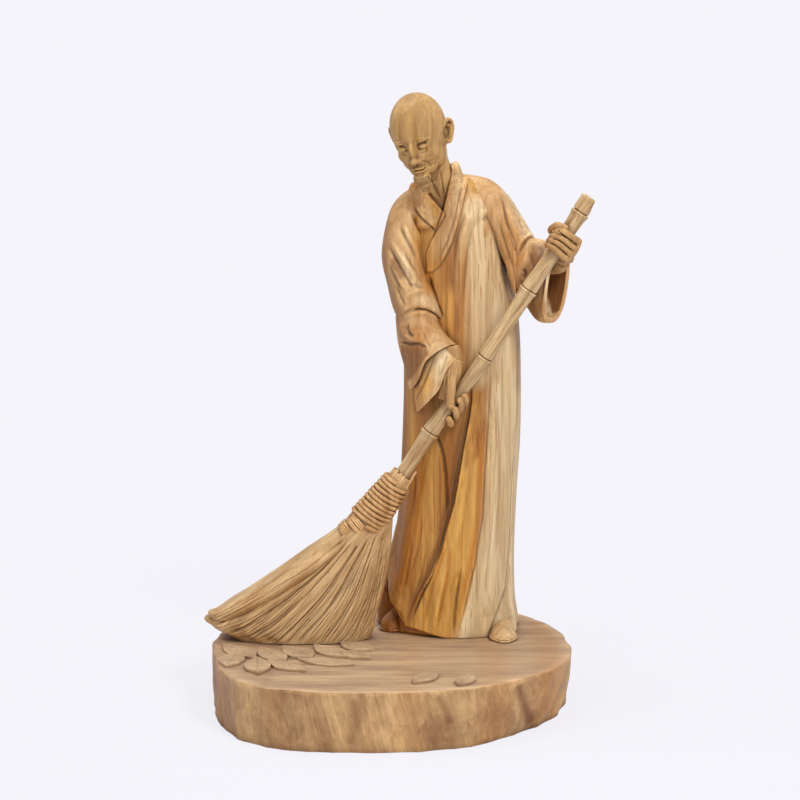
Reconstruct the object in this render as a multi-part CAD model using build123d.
"""A carved camphor-wood figure of a sweeper in a wide-sleeved robe, standing on a hewn log slice.

It is built as a joined wood carving: head, sleeves, hands, shoes and broom are carved from their own
blocks and seated with tenons and dowels. Millimetres; +X to the figure's left hand, -Y is the front,
+Z up. The origin is the centre of the log slice's flat underside.
"""

from build123d import *
from math import cos, degrees, exp, pi, radians, sin
import os

# ---------------------------------------------------------------- driving dimensions
TOTAL_HEIGHT = 1000.0      # underside of the slice to the crown of the head
SLAB_THICK = 96.0          # thickness of the log slice
LEAF_RELIEF = 4.0          # how far the lowest leaves stand out of the slice
HANDLE_RADIUS = 12.3       # bamboo culm between two nodes
CORD_RADIUS = 3.5          # carved cord of the binding
CORD_PITCH = 7.8           # how far one turn of the cord climbs
CORD_TURNS = 11
CORD_START = 24.0          # how far up the neck the cord starts
FINGER_RADIUS = 5.0
PANEL_RELIEF = 15.0        # how far the wrapped front panel stands out at its middle
LAPEL_RELIEF = 4.5
UNDER_LAPEL_RELIEF = 2.5
COLLAR_WALL = 8.0
FIT = 0.2                  # glue gap round a dowel or a tenon
ROBE_DOWEL = 12.5          # radii of the dowels
SHOULDER_DOWEL = 7.0
WRIST_DOWEL = 4.5
PEG_DOWEL = 6.0
RING_POINTS = 44           # knife facets round one robe section

# Robe: height, centre x, centre y, half width, half depth of the block under its folds.
ROBE_STATIONS = [
    (SLAB_THICK, 102, 120, 110, 90),
    (150, 104, 119, 101, 84),
    (225, 107, 118, 97, 79),
    (320, 112, 118, 96, 75),
    (430, 117, 117, 98, 73),
    (540, 118, 116, 98, 72),
    (620, 116, 115, 97, 71),
    (680, 112, 113, 92, 69),
    (740, 106, 111, 84, 65),
    (790, 100, 109, 77, 60),
    (822, 95, 107, 66, 51),
    (846, 88, 105, 51, 42),
    (862, 82, 103, 36, 33),
]
# Folds: angle at the hem, angle at the top, height they start from, crest at the hem, half width.
# Angles run from +X; -90 is the front and 90 the back.
ROBE_FOLDS = [
    (-150, -128, 420, 9, 12),
    (-84, -72, 430, 6, 12),
    (-58, -60, 560, 8, 12),
    (-24, -16, 330, 7, 12),
    (12, 6, 620, 8, 14),
    (48, 40, 560, 10, 13),
    (82, 72, 660, 11, 12),
    (112, 104, 640, 9, 12),
    (146, 140, 560, 10, 13),
    (178, 184, 500, 8, 12),
]

# The culm's axis: it bends a little at each of its four nodes, as bamboo grows.
CULM_JOINTS = [
    Vector(-5, 26, 342),
    Vector(64, 16, 448),
    Vector(152, 5, 573),
    Vector(222, -5, 684),
    Vector(303, -16, 810),
    Vector(316, -18, 834),
]
CULM_FOOT, CULM_TIP = CULM_JOINTS[0], CULM_JOINTS[-1]
# A node's rings: distance from its groove and radius as a share of the culm's.
NODE_RINGS = [
    (-38, 1.0), (-14, 1.1), (-3.5, 1.25), (-1.2, 1.24), (0, 1.12), (1.2, 1.2), (5, 1.2), (15, 1.04),
    (26, 0.98),
]

# Broom head: height, centre x, centre y, half width, half depth.
BROOM_STATIONS = [
    (SLAB_THICK + 0.4, -152, 42, 118, 55),
    (112, -164, 43, 136, 58),
    (130, -168, 42, 143, 58),
    (152, -152, 40, 134, 55),
    (184, -124, 37, 114, 49),
    (216, -98, 35, 93, 43),
    (250, -72, 33, 72, 37),
    (284, -50, 32, 51, 32),
]


# ---------------------------------------------------------------- shape helpers
def outline(points):
    """A face inside the closed polygon through points."""
    return Face(Wire.make_polygon([Vector(*point) for point in points], close=True))


def flats(rings):
    """A closed solid in flat knife facets through rings of corners, each ring in one plane."""
    faces = [outline(rings[0]), outline(rings[-1])]
    for low, high in zip(rings, rings[1:]):
        for k in range(len(low)):
            faces.append(outline([low[k - 1], low[k], high[k]]))
            faces.append(outline([low[k - 1], high[k], high[k - 1]]))
    return Solid(Shell(faces))


def ring(z, cx, cy, half_x, half_y, crest=lambda angle: 0.0, points=RING_POINTS, square=0.88):
    """Corners of a horizontal section: a slightly squared oval, grown by crest(angle)."""
    found = []
    for k in range(points):
        angle = 2 * pi * k / points
        c, s = cos(angle), sin(angle)
        grow = crest(angle)
        x = (half_x + grow) * abs(c) ** square * (1 if c > 0 else -1)
        y = (half_y + grow) * abs(s) ** square * (1 if s > 0 else -1)
        found.append((cx + x, cy + y, z))
    return found


def oval(centre, normal, half_u, half_v, u_dir=(1, 0, 0), sides=14):
    """Corners of an ellipse at centre across normal, half_u along u_dir as far as its plane allows."""
    n = Vector(*normal).normalized()
    u = Vector(*u_dir)
    u = (u - n * u.dot(n)).normalized()
    v = n.cross(u)
    turns = [2 * pi * (k + 0.5) / sides for k in range(sides)]
    return [Vector(*centre) + u * half_u * cos(t) + v * half_v * sin(t) for t in turns]


def limb(stations, u_dir=(1, 0, 0), sides=14):
    """A tapering solid through ovals given as (centre, half_u, half_v), square to the path."""
    centres = [Vector(*s[0]) for s in stations]
    sections = []
    for k, (_, half_u, half_v) in enumerate(stations):
        ahead = centres[min(k + 1, len(centres) - 1)] - centres[max(k - 1, 0)]
        sections.append(oval(centres[k], ahead, half_u, half_v, u_dir, sides))
    return flats(sections)


def largest(piece):
    """The main solid of a piece, without the slivers that a cut leaves."""
    return max(piece.solids(), key=lambda solid: solid.volume)


def rod(start, end, radius, sides=12):
    """A dowel shaved to flats, from start to end."""
    a, b = Vector(*start), Vector(*end)
    section = Plane(origin=a, z_dir=b - a) * RegularPolygon(radius, sides)
    return extrude(section, amount=(b - a).length, dir=(b - a).normalized())


def knuckled(points, radii, sides=7):
    """A finger: facetted tapering lengths that overlap at each knuckle."""
    found = None
    for k in range(len(points) - 1):
        a, b = Vector(*points[k]), Vector(*points[k + 1])
        along = (b - a).normalized()
        across = (0, 0, 1) if abs(along.Z) < 0.8 else (1, 0, 0)
        start, end = radii[k], radii[k + 1]
        joint = flats([
            oval(a - along * start * 0.55, along, start * 0.72, start * 0.72, across, sides),
            oval(a, along, start, start, across, sides),
            oval(b, along, end, end, across, sides),
            oval(b + along * end * 0.7, along, end * 0.6, end * 0.6, across, sides),
        ])
        found = joint if found is None else found + joint
    return found


def front_prism(points, depth=130.0, start=-80.0):
    """A solid that runs back from the front behind an outline given as (x, z)."""
    face = make_face(Polyline(*[(x, start, z) for x, z in points], close=True))
    return extrude(face, amount=depth, dir=(0, 1, 0))


CULM_LENGTH = (CULM_TIP - CULM_FOOT).length
JOINT_SHARES = [(joint - CULM_FOOT).dot(CULM_TIP - CULM_FOOT) / CULM_LENGTH ** 2 for joint in CULM_JOINTS]


def on_culm(share):
    """A point on the culm's axis, from 0 at its foot to 1 at its upper end."""
    k = max(i for i in range(len(JOINT_SHARES) - 1) if i == 0 or JOINT_SHARES[i] <= share)
    part = (share - JOINT_SHARES[k]) / (JOINT_SHARES[k + 1] - JOINT_SHARES[k])
    return CULM_JOINTS[k] + (CULM_JOINTS[k + 1] - CULM_JOINTS[k]) * part


# ---------------------------------------------------------------- log slice and leaves
# The hewn outline of the slice: angle and radius of its corners, fuller at the front left.
SLAB_CORNERS = [
    (-180, 298), (-166, 300), (-151, 315), (-137, 331), (-126, 333), (-114, 320), (-98, 300), (-81, 296),
    (-65, 301), (-50, 299), (-34, 305), (-19, 304), (-5, 297), (12, 294), (28, 298), (45, 301), (62, 296),
    (80, 292), (98, 295), (116, 291), (134, 296), (152, 294), (166, 297),
]
SLAB_ROWS = (0, 26, 58, SLAB_THICK)      # heights where the axe's facets meet


def slab_ring(row):
    """Corners of the slice at one height: its facets wander, and its foot is cut under at the right."""
    z = SLAB_ROWS[row]
    found = []
    for k, (angle, radius) in enumerate(SLAB_CORNERS):
        under = 22 * exp(-(((angle + 35) / 28) ** 2)) + 3
        radius -= under * (1 - z / SLAB_THICK) ** 2
        if 0 < row < len(SLAB_ROWS) - 1:
            radius += 2.2 * sin(2.4 * k + 2.1 * row) - 1.0
        found.append((radius * cos(radians(angle)), radius * sin(radians(angle)), z))
    return found


def leaf(stem, tip, width, relief):
    """One fallen leaf: two arcs from the stem to the tip, raised from the slice."""
    start, end = Vector(*stem, SLAB_THICK - 2), Vector(*tip, SLAB_THICK - 2)
    middle = (start + end) / 2
    bow = (end - start).cross(Vector(0, 0, 1)).normalized() * width / 2
    rim = ThreePointArc(start, middle + bow, end) + ThreePointArc(end, middle - bow, start)
    return extrude(make_face(rim), amount=relief + 2, dir=(0, 0, 1))


LEAVES = [  # x and y of the stem, x and y of the tip, width
    ((-278, -18), (-218, -104), 42),
    ((-250, -70), (-262, -156), 40),
    ((-216, -108), (-209, -196), 42),
    ((-216, -38), (-170, -128), 42),
    ((-200, -122), (-136, -180), 34),
    ((-178, -38), (-127, -108), 44),
    ((-150, -110), (-58, -142), 36),
    ((-128, -28), (-70, -96), 42),
    ((-88, -66), (-34, -106), 28),
    ((-86, -6), (-28, -52), 44),
    ((34, -250), (73, -186), 32),
    ((102, -262), (127, -208), 28),
]


def log_slice():
    """The log slice in axe facets with the fallen leaves, which overlap like tiles."""
    solid = flats([slab_ring(row) for row in range(len(SLAB_ROWS))])
    for k, (stem, tip, width) in enumerate(LEAVES):
        solid += leaf(stem, tip, width, LEAF_RELIEF + 0.9 * (k % 3))
    return solid


# ---------------------------------------------------------------- robe
def robe_form(grow=lambda angle: 0.0):
    """The robe's block with its folds, grown outwards by grow(angle)."""
    sections = []
    for z, cx, cy, half_x, half_y in ROBE_STATIONS:

        def crest(angle, z=z):
            total = grow(angle)
            for hem, top, reach, height, width in ROBE_FOLDS:
                rise = (z - SLAB_THICK) / (reach - SLAB_THICK)
                if rise >= 1:
                    continue
                place = hem + (top - hem) * rise
                off = (degrees(angle) - place + 180) % 360 - 180
                total += height * (1 - rise) * exp(-((off / width) ** 2))
            return total

        sections.append(ring(z, cx, cy, half_x, half_y, crest))
    return flats(sections)


PANEL_HALF_ANGLE = 75.0


def panel_swell(angle):
    """How far the wrapped front panel stands out: most at the front, nothing at the sides."""
    off = (degrees(angle) + 90 + 180) % 360 - 180
    return PANEL_RELIEF * max(0.0, 1 - (off / PANEL_HALF_ANGLE) ** 2)


# Outlines seen from the front, (x, z).
LAPEL = [
    (101, 880), (90, 822), (74, 775), (60, 722), (59, 706), (80, 712), (100, 744), (114, 786), (124, 826),
    (126, 872),
]
UNDER_LAPEL = [(30, 850), (42, 830), (75, 774), (66, 754), (26, 812), (16, 838)]
FRONT_PANEL = [
    (131, 535), (125, 461), (110, 377), (94, 296), (64, 199), (30, 116), (20, 84), (155, 84), (173, 128),
    (192, 177), (199, 242), (202, 327), (206, 430), (206, 535),
]
HEM_LIFT = [(-60, 60), (-60, 176), (2, 172), (26, 140), (26, 90)]


def robe():
    """The robe block: folds, the wrapped front panel, the lapels and the lifted hem."""
    solid = robe_form()
    solid += robe_form(panel_swell) & front_prism(FRONT_PANEL, depth=200)
    solid += robe_form(lambda angle: LAPEL_RELIEF) & front_prism(LAPEL, depth=165)
    solid += robe_form(lambda angle: UNDER_LAPEL_RELIEF) & front_prism(UNDER_LAPEL, depth=150)
    solid += collar()
    solid -= front_prism(HEM_LIFT, depth=200)
    return solid


COLLAR_CENTRE = (78, 98)
COLLAR_HEIGHT = 866.0
COLLAR_RADIUS = 28.0           # inside of the band
COLLAR_START, COLLAR_SWEEP = -62.0, 304.0
COLLAR_DIP = 34.0              # how far both ends run down into the chest


def collar():
    """The collar's band round the back of the neck; both its ends run down into the chest."""
    rings = []
    steps = 14
    for k in range(steps + 1):
        share = k / steps
        turn = radians(COLLAR_START + COLLAR_SWEEP * share)
        dip = COLLAR_DIP * exp(-((share * (1 - share) * 12) ** 2))
        z = COLLAR_HEIGHT + 9 * cos(turn) + 7 * sin(turn) - dip
        out = Vector(cos(turn), sin(turn), 0)
        inner = Vector(*COLLAR_CENTRE, z) + out * COLLAR_RADIUS
        outer = inner + out * COLLAR_WALL
        rings.append([inner - Vector(0, 0, 20), outer - Vector(0, 0, 20), outer + Vector(0, 0, 16),
                      inner + Vector(0, 0, 18)])
    return flats(rings)


# ---------------------------------------------------------------- head
HEAD_BOX = (46, 42, TOTAL_HEIGHT - 71)       # the head's centre
HEAD_TILT = (24, -9, -20)      # nod, lean and turn in degrees
NECK_FOOT = (80, 96, 826)
NECK_TENON_RADIUS = 17.0


def head_place():
    """The frame of the tilted head: its face looks along its own -Y."""
    nod, lean, turn = HEAD_TILT
    return Pos(*HEAD_BOX) * Rot(0, 0, turn) * Rot(0, lean, 0) * Rot(nod, 0, 0)


def head():
    """Head and neck in one block, with a round tenon for the socket in the robe."""
    # height over the head's centre, centre y, half width, half depth
    skull = [
        (-72, -37, 8, 9),
        (-62, -30, 22, 24),
        (-42, -18, 34, 39),
        (-20, -9, 41, 49),
        (6, -2, 45, 57),
        (30, 1, 45.5, 58),
        (50, 2, 39, 50),
        (63, 3, 27, 34),
        (71.5, 4, 8, 10),
    ]
    solid = flats([ring(z, 0, y, a, b, points=24, square=0.94) for z, y, a, b in skull])
    nose = loft(
        [
            Plane(origin=(0, -56, 4)) * Rectangle(7, 8),
            Plane(origin=(0, -61, -14)) * Rectangle(13, 14),
            Plane(origin=(0, -56, -22)) * Rectangle(17, 16),
        ],
        ruled=True,
    )
    brow = limb(
        [((-30, -46, 15), 4, 3), ((-12, -56, 18), 5, 4), ((12, -56, 18), 5, 4), ((30, -46, 15), 4, 3)],
        u_dir=(0, 0, 1),
        sides=8,
    )
    goatee = flats([
        oval((0, -45, -56), (0, 0, -1), 11, 9, sides=8),
        oval((0, -46, -68), (0, 0, -1), 11, 9, sides=8),
        oval((0, -44, -79), (0, 0, -1), 5, 5, sides=8),
    ])
    solid += nose
    solid += brow
    solid += goatee
    for side in (-1, 1):
        ear = limb(
            [
                ((side * 42, 4, -26), 5, 4),
                ((side * 45, 4, -16), 7, 8),
                ((side * 48, 7, 2), 8, 12),
                ((side * 49, 9, 14), 8, 12),
                ((side * 46, 7, 23), 5, 6),
            ],
            sides=8,
        )
        solid += ear
    solid = head_place() * solid
    throat = limb([((60, 74, 880), 26, 29), ((70, 86, 852), 27, 29), (NECK_FOOT, 30, 30)])
    tenon = rod(NECK_FOOT, (88, 106, 790), NECK_TENON_RADIUS)
    return solid + throat + tenon


# ---------------------------------------------------------------- sleeves
def hoop(row, wall=0.0, sides=16):
    """Corners of a sleeve's oval from its centre, right and front half axes, thinner by wall."""
    centre, right, front = (Vector(*part) for part in row)
    right -= right.normalized() * wall
    front -= front.normalized() * wall
    turns = [2 * pi * (k + 0.5) / sides for k in range(sides)]
    return [centre + right * cos(t) + front * sin(t) for t in turns]


def past(row, mouth, share):
    """The row that lies beyond a sleeve's mouth by a share of its last step."""
    return [Vector(*a) + (Vector(*b) - Vector(*a)) * share for a, b in zip(row, mouth)]


def bell(rows, wall=4.0):
    """A hanging sleeve layer: its outside, hollowed from the mouth back through its last two rows."""
    outside = flats([hoop(row) for row in rows])
    beyond = past(rows[-2], rows[-1], 1.15)
    pocket = flats([
        hoop(rows[-3], wall * 2.6),
        hoop(rows[-2], wall * 1.4),
        hoop(rows[-1], wall),
        hoop(beyond, wall),
    ])
    return outside - pocket


# Sleeve rows: centre, half axis to the right or upwards, half axis to the front.
RIGHT_UPPER = [
    ((70, 104, 846), (12, 0, -12), (0, -28, 3)),
    ((44, 101, 820), (20, 0, -18), (-2, -38, 4)),
    ((33, 99, 803), (29, 0, -16), (-1, -40, 4)),
    ((26, 95, 782), (34, 0, -9), (0, -42, 4)),
    ((20, 88, 735), (37, 0, 2), (0, -43, 5)),
    ((28, 78, 690), (35, 0, 8), (-2, -42, 10)),
    ((39, 66, 655), (37, 0, 8), (-4, -38, 18)),
    ((50, 52, 625), (37, 4, -3), (-3, -27, 30)),
]
RIGHT_MIDDLE = [
    ((46, 62, 628), (30, 4, 4), (-3, -24, 24)),
    ((48, 54, 600), (30, 2, 14), (-6, -28, 22)),
    ((57, 43, 575), (34, -3, 27), (-11, -31, 19)),
    ((67, 32, 552), (40, -8, 37), (-16, -32, 16)),
]
RIGHT_INNER = [
    ((60, 44, 580), (26, -2, 24), (-9, -25, 15)),
    ((66, 34, 556), (32, -5, 32), (-10, -26, 13)),
    ((71, 27, 538), (36, -8, 38), (-10, -26, 10)),
    ((76, 20, 522), (38, -10, 43), (-9, -26, 8)),
]
LEFT_UPPER = [
    ((108, 104, 842), (3, 0, 25), (0, -30, 0)),
    ((150, 102, 826), (10, 0, 32), (-4, -38, 0)),
    ((178, 97, 798), (14, 0, 33), (-8, -40, 0)),
    ((200, 86, 760), (14, 0, 35), (-13, -37, 0)),
    ((222, 72, 722), (12, 0, 38), (-17, -30, 0)),
]
LEFT_HANGING = [
    ((212, 76, 716), (10, 0, 32), (-13, -24, 0)),
    ((222, 68, 702), (8, 0, 44), (-15, -27, 0)),
    ((236, 57, 690), (6, 0, 52), (-17, -29, 0)),
    ((254, 42, 684), (8, 0, 57), (-17, -29, 0)),
    ((272, 28, 682), (8, 0, 56), (-17, -28, 0)),
]


def right_sleeve():
    """The right arm's three sleeve layers, one inside the other, and the wrist."""
    wrist = limb([((76, 34, 590), 19, 17), ((101, 13, 558), 14, 12)])
    return bell(RIGHT_UPPER, 4.5) + bell(RIGHT_MIDDLE) + bell(RIGHT_INNER) + wrist


def left_sleeve():
    """The left arm's short outer sleeve, the wide one that hangs under it, and the wrist."""
    wrist = limb([((226, 56, 706), 17, 17), ((262, 31, 728), 15, 14)], (0, 0, 1))
    return bell(LEFT_UPPER, 4.5) + bell(LEFT_HANGING, 5.0) + wrist


# ---------------------------------------------------------------- hands
def round_culm(share, angle, radius):
    """A point at radius from the culm's axis; angle 0 is its front and 90 its lower right."""
    along = (CULM_TIP - CULM_FOOT).normalized()
    front = Vector(0, -1, 0)
    front = (front - along * front.dot(along)).normalized()
    across = along.cross(front)
    out = front * cos(radians(angle)) + across * sin(radians(angle))
    return on_culm(share) + out * radius


def hand(palm, fingers, thumb):
    """A palm cut in flats, with four fingers and a thumb, each closed on the culm."""
    along = CULM_TIP - CULM_FOOT
    solid = limb(palm, u_dir=(along.X, along.Y, along.Z), sides=10)
    radii = [FINGER_RADIUS * swell for swell in (1.08, 1.04, 0.96, 0.86)]
    for finger in fingers:
        solid += knuckled([round_culm(*place) for place in finger], radii)
    thick = [FINGER_RADIUS * swell for swell in (1.5, 1.42, 1.36, 1.1)]
    solid += knuckled([round_culm(*place) for place in thumb], thick)
    return solid


# Fingers: each joint's share of the culm, angle round it and radius from its axis.
RIGHT_FINGERS = [
    [(0.360, 185, 24), (0.335, 135, 24), (0.329, 94, 21), (0.351, 46, 18)],
    [(0.342, 185, 24), (0.315, 135, 24), (0.306, 94, 21), (0.334, 34, 18)],
    [(0.324, 185, 24), (0.297, 135, 24), (0.287, 92, 21), (0.305, 38, 18)],
    [(0.306, 185, 23), (0.275, 135, 23), (0.260, 92, 20.5), (0.268, 52, 17.5)],
]
RIGHT_THUMB = [(0.400, -98, 27), (0.384, -80, 26), (0.349, -42, 21), (0.314, -4, 19.5)]
LEFT_FINGERS = [
    [(0.885, 66, 24), (0.886, -12, 24), (0.877, -42, 20.5), (0.870, -68, 18)],
    [(0.862, 74, 24), (0.869, -9, 24), (0.861, -44, 20.5), (0.854, -74, 18)],
    [(0.845, 72, 24), (0.852, -9, 24), (0.847, -44, 20.5), (0.842, -73, 18)],
    [(0.827, 62, 23), (0.835, -12, 23), (0.833, -38, 20), (0.830, -62, 17.8)],
]
LEFT_THUMB = [(0.862, -155, 26), (0.868, -112, 25), (0.888, -70, 22.5), (0.898, -22, 19.5)]


def right_hand():
    """The lower hand: it comes from above, thumb down the culm's front and fingertips curled round it."""
    palm = [
        ((97, 18, 588), 14, 11),
        ((102, 13, 564), 16, 11),
        (round_culm(0.385, -95, 29), 19, 11),
        (round_culm(0.355, -120, 27), 22, 10),
        (round_culm(0.335, -152, 25.5), 23, 9),
        (round_culm(0.325, 180, 24), 23, 7),
    ]
    return hand(palm, RIGHT_FINGERS, RIGHT_THUMB)


def left_hand():
    """The upper hand: its palm behind the culm, knuckles to the right, fingertips over the front."""
    palm = [
        ((258, 36, 722), 13, 13),
        (round_culm(0.838, 165, 30), 19, 12),
        (round_culm(0.849, 125, 27.5), 22, 10),
        (round_culm(0.855, 92, 25), 22, 7),
        (round_culm(0.857, 74, 23), 21, 5),
    ]
    return hand(palm, LEFT_FINGERS, LEFT_THUMB)


# ---------------------------------------------------------------- shoes
# Heel, toe, half width and height at the ankle.
RIGHT_SHOE = ((28, 138, 0), (-14, 84, 0), 20, 44)
LEFT_SHOE = ((186, 96, 0), (195, 4, 0), 22, 40)


def shoe(heel, toe, half_width, height):
    """A cloth shoe: a flat sole and a domed upper that rises to the ankle."""
    start = Vector(*heel)
    along = Vector(*toe) - start
    across = Vector(-along.Y, along.X, 0).normalized()
    rows = [(0.0, 0.80, 1.00), (0.35, 0.95, 1.0), (0.62, 1.0, 0.82), (0.84, 0.86, 0.62), (1.0, 0.42, 0.34)]
    sections = []
    for share, wide, tall in rows:
        centre = start + along * share
        half, top = half_width * wide, height * tall
        edge = [(-half, 0), (-half * 1.04, 7), (-half * 0.94, top * 0.5), (-half * 0.6, top * 0.86), (0, top),
                (half * 0.6, top * 0.86), (half * 0.94, top * 0.5), (half * 1.04, 7), (half, 0)]
        sections.append([centre + across * side + Vector(0, 0, SLAB_THICK + up) for side, up in edge])
    return flats(sections)


# ---------------------------------------------------------------- broom
def culm():
    """The bamboo handle: scraped to flats, with swollen nodes and their sheath grooves."""
    marks = [(0.0, 0.98)]
    for joint in JOINT_SHARES[1:-1]:
        rings = [(joint + off / CULM_LENGTH, wide) for off, wide in NODE_RINGS]
        marks += [(share, wide) for share, wide in rings if share < 1]
    marks.append((1.0, 0.98))
    along = CULM_TIP - CULM_FOOT
    sections = []
    for share, wide in marks:
        sections.append(oval(on_culm(share), along, HANDLE_RADIUS * wide, HANDLE_RADIUS * wide, (0, 1, 0)))
    return flats(sections)


BINDING_FOOT = Vector(-56, 30, 276)
BINDING_TOP_SHARE = 0.055      # where the neck ends on the culm
STRANDS = 28                   # ridges round the bristle block
STRAND_RELIEF = 3.0


def neck_radius(share):
    """The broom's neck under the binding, from its shoulder at 0 to its upper end at 1."""
    return 30 - 11.5 * share


def neck_axis(share):
    """A point on the bound neck, from the shoulder at 0 to its upper end at 1."""
    return BINDING_FOOT + (on_culm(BINDING_TOP_SHARE) - BINDING_FOOT) * share


def broom():
    """The bristle block: a flared fan whose strands lie in ridges, with the neck for the binding."""

    def ridge(angle):
        return STRAND_RELIEF * cos(STRANDS * angle)

    sections = [
        ring(z, cx, cy, a, b, ridge, points=2 * STRANDS, square=0.96)
        for z, cx, cy, a, b in BROOM_STATIONS
    ]
    along = neck_axis(1) - neck_axis(0)
    neck = flats([
        oval(neck_axis(-0.3), along, 34, 30),
        oval(neck_axis(0), along, neck_radius(0), neck_radius(0)),
        oval(neck_axis(1), along, neck_radius(1), neck_radius(1)),
    ])
    return flats(sections) + neck


def cord_point(turn):
    """The cord's axis after so many turns up the tapering neck."""
    along = neck_axis(1) - neck_axis(0)
    length = along.length
    along = along.normalized()
    side = Vector(0, -1, 0)
    side = (side - along * side.dot(along)).normalized()
    share = (turn * CORD_PITCH + CORD_START) / length
    radius = neck_radius(share) + CORD_RADIUS
    out = side * cos(2 * pi * turn) + along.cross(side) * sin(2 * pi * turn)
    return neck_axis(share) + out * radius


def binding():
    """The carved binding: one unbroken cord wound up the neck, its turns side by side."""
    steps = 16
    count = CORD_TURNS * steps
    up = neck_axis(1) - neck_axis(0)
    sections = []
    for k in range(count + 1):
        here = cord_point(k / steps)
        ahead = cord_point((k + 0.5) / steps) - cord_point((k - 0.5) / steps)
        sections.append(oval(here, ahead, CORD_RADIUS, CORD_RADIUS, (up.X, up.Y, up.Z), sides=6))
    return flats(sections)


def cord_gap():
    """The least gap between the cord's neighbouring turns, measured on points of its axis."""
    per_turn = 24
    marks = [cord_point(k / per_turn) for k in range(per_turn * CORD_TURNS + 1)]
    gaps = []
    for i, here in enumerate(marks):
        for there in marks[i + per_turn // 2:i + per_turn * 3 // 2 + 1]:
            gaps.append((there - here).length)
    return min(gaps) - 2 * CORD_RADIUS


# ---------------------------------------------------------------- dowels
DOWELS = {  # node: list of (start, end, radius)
    "robe_dowels": [
        ((70, 125, 46), (70, 125, 150), ROBE_DOWEL),
        ((150, 125, 46), (150, 125, 150), ROBE_DOWEL),
    ],
    "right_shoulder_dowels": [
        ((30, 104, 790), (74, 108, 776), SHOULDER_DOWEL),
        ((26, 98, 742), (72, 106, 730), SHOULDER_DOWEL),
    ],
    "left_shoulder_dowels": [
        ((132, 106, 776), (180, 100, 790), SHOULDER_DOWEL),
        ((140, 106, 738), (196, 92, 748), SHOULDER_DOWEL),
    ],
    "right_wrist_dowel": [((91, 22, 575), (97, 13, 545), WRIST_DOWEL)],
    "left_wrist_dowel": [((249, 41, 719), (268, 24, 741), WRIST_DOWEL)],
    "broom_dowels": [
        ((-200, 40, 70), (-200, 40, 118), PEG_DOWEL),
        ((-110, 40, 70), (-110, 40, 118), PEG_DOWEL),
    ],
}


# ---------------------------------------------------------------- assembly
def assemble():
    """Every piece by node name, each cut back to what it is seated on."""
    slab = log_slice()
    body = robe()
    face = head()
    arm_r, arm_l = right_sleeve(), left_sleeve()
    hand_r, hand_l = right_hand(), left_hand()
    foot_r = shoe(*RIGHT_SHOE)
    foot_l = shoe(*LEFT_SHOE)
    handle, fan, wrap = culm(), broom(), binding()
    print("least gap between the cord's turns, mm:", round(cord_gap(), 2))

    body = largest(body - face)
    foot_r = largest(foot_r - body)
    foot_l = largest(foot_l - body)
    arm_r = largest(arm_r - body - face - handle)
    arm_l = largest(arm_l - body - handle)
    hand_r = largest(hand_r - arm_r - body - handle)
    hand_l = largest(hand_l - arm_l - handle)
    fan = largest(fan - handle - slab)
    wrap = largest(wrap - fan)

    pieces = {
        "log_slice": slab,
        "robe_body": body,
        "head": face,
        "right_sleeve": arm_r,
        "left_sleeve": arm_l,
        "right_hand": hand_r,
        "left_hand": hand_l,
        "right_shoe": foot_r,
        "left_shoe": foot_l,
        "broom_handle": handle,
        "broom_head": fan,
        "broom_binding": wrap,
    }
    hosts = {
        "robe_dowels": ("log_slice", "robe_body"),
        "right_shoulder_dowels": ("robe_body", "right_sleeve"),
        "left_shoulder_dowels": ("robe_body", "left_sleeve"),
        "right_wrist_dowel": ("right_sleeve", "right_hand"),
        "left_wrist_dowel": ("left_sleeve", "left_hand"),
        "broom_dowels": ("log_slice", "broom_head"),
    }
    for node, pins in DOWELS.items():
        for start, end, radius in pins:
            for host in hosts[node]:
                pieces[host] -= rod(start, end, radius + FIT)
        pieces[node] = Compound([rod(*pin).solid() for pin in pins])
    return pieces


def main():
    os.makedirs("parts", exist_ok=True)
    for node, piece in assemble().items():
        solids = piece.solids()
        print(node, "solids", len(solids), "volume", round(sum(s.volume for s in solids)))
        export_step(piece if len(solids) > 1 else solids[0], f"parts/{node}.step")


main()
